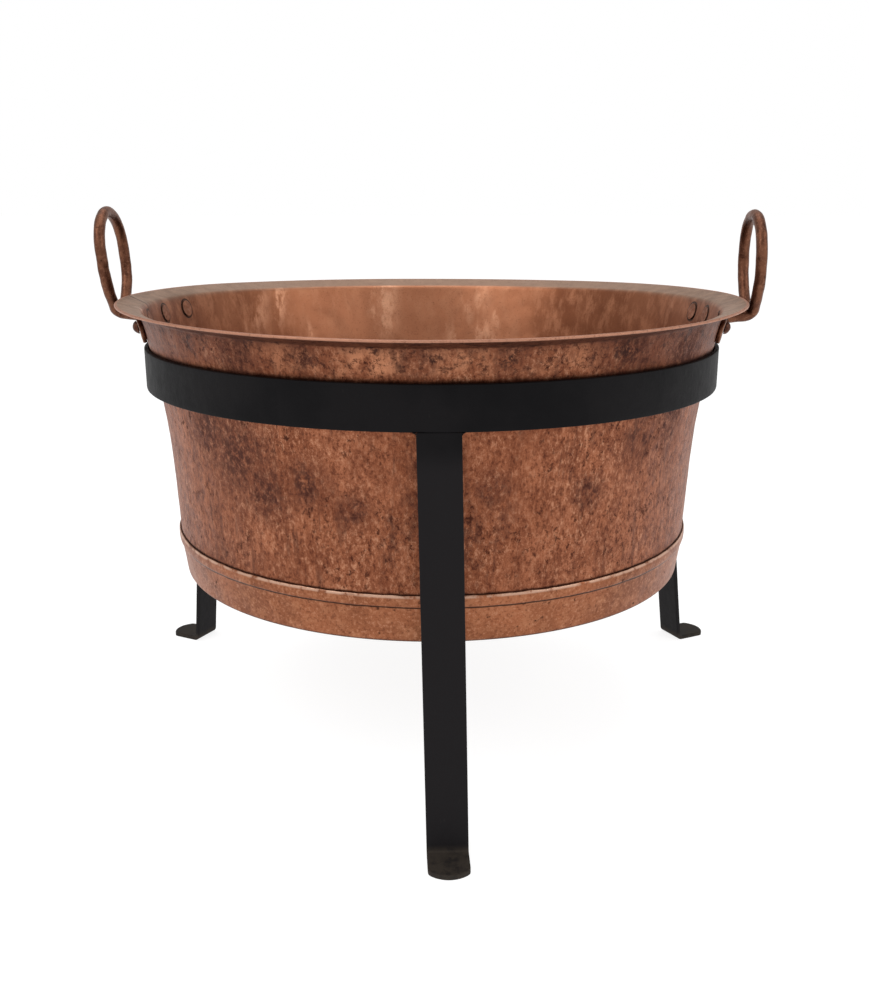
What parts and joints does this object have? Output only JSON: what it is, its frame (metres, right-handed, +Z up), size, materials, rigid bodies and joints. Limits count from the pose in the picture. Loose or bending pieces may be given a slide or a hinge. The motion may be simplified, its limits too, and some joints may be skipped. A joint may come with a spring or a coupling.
{
  "type": "fire pit with grate",
  "caption": "Round flared copper fire bowl with a turned-out rim and riveted loop handles, hung in a flat-bar hoop on splayed iron legs, with a loose fire grate.",
  "frame": {"origin": "on the ground, on the vertical axis of the pan and the hoop", "axes": "+Z up; -Y towards the front leg; handles near +X and -X"},
  "size_m": [0.701, 0.7054, 0.5436],
  "materials": {
    "stand_paint": "satin black paint on forged iron, worn lighter on edges",
    "copper_sheet": "aged hammered copper sheet, mottled brown patina",
    "copper_base": "aged copper sheet, cleaner than the wall",
    "copper_rod": "dull brown copper rod, polished by hands",
    "copper_rivet": "dark patinated copper",
    "grate_iron": "rough dark iron with scale, ash and a little rust"
  },
  "bodies": {
    "stand": {"stand_hoop": "stand_paint", "leg_front": "stand_paint", "leg_right": "stand_paint", "leg_left": "stand_paint", "leg_welds": "stand_paint"},
    "pan": {"pan_wall": "copper_sheet", "pan_base": "copper_base", "handle_left": "copper_rod", "handle_right": "copper_rod", "rivets_left": "copper_rivet", "rivets_right": "copper_rivet"},
    "grate": {"grate_ring": "grate_iron", "grate_bar_1": "grate_iron", "grate_bar_2": "grate_iron", "grate_bar_3": "grate_iron", "grate_bar_4": "grate_iron", "grate_bar_5": "grate_iron", "grate_bar_6": "grate_iron", "grate_bar_7": "grate_iron", "grate_bar_8": "grate_iron", "grate_bar_9": "grate_iron", "grate_bar_10": "grate_iron", "grate_bar_11": "grate_iron", "grate_cross_bar_1": "grate_iron", "grate_cross_bar_2": "grate_iron", "grate_foot_1": "grate_iron", "grate_foot_2": "grate_iron", "grate_foot_3": "grate_iron", "grate_foot_4": "grate_iron"}
  },
  "joints": [
    {"name": "pan_lift", "type": "slide", "parent": "stand", "child": "pan", "axis": [0, 0, 1], "range_m": [0, 0.25]},
    {"name": "grate_lift", "type": "slide", "parent": "pan", "child": "grate", "axis": [0, 0, 1], "range_m": [0, 0.29]}
  ]
}
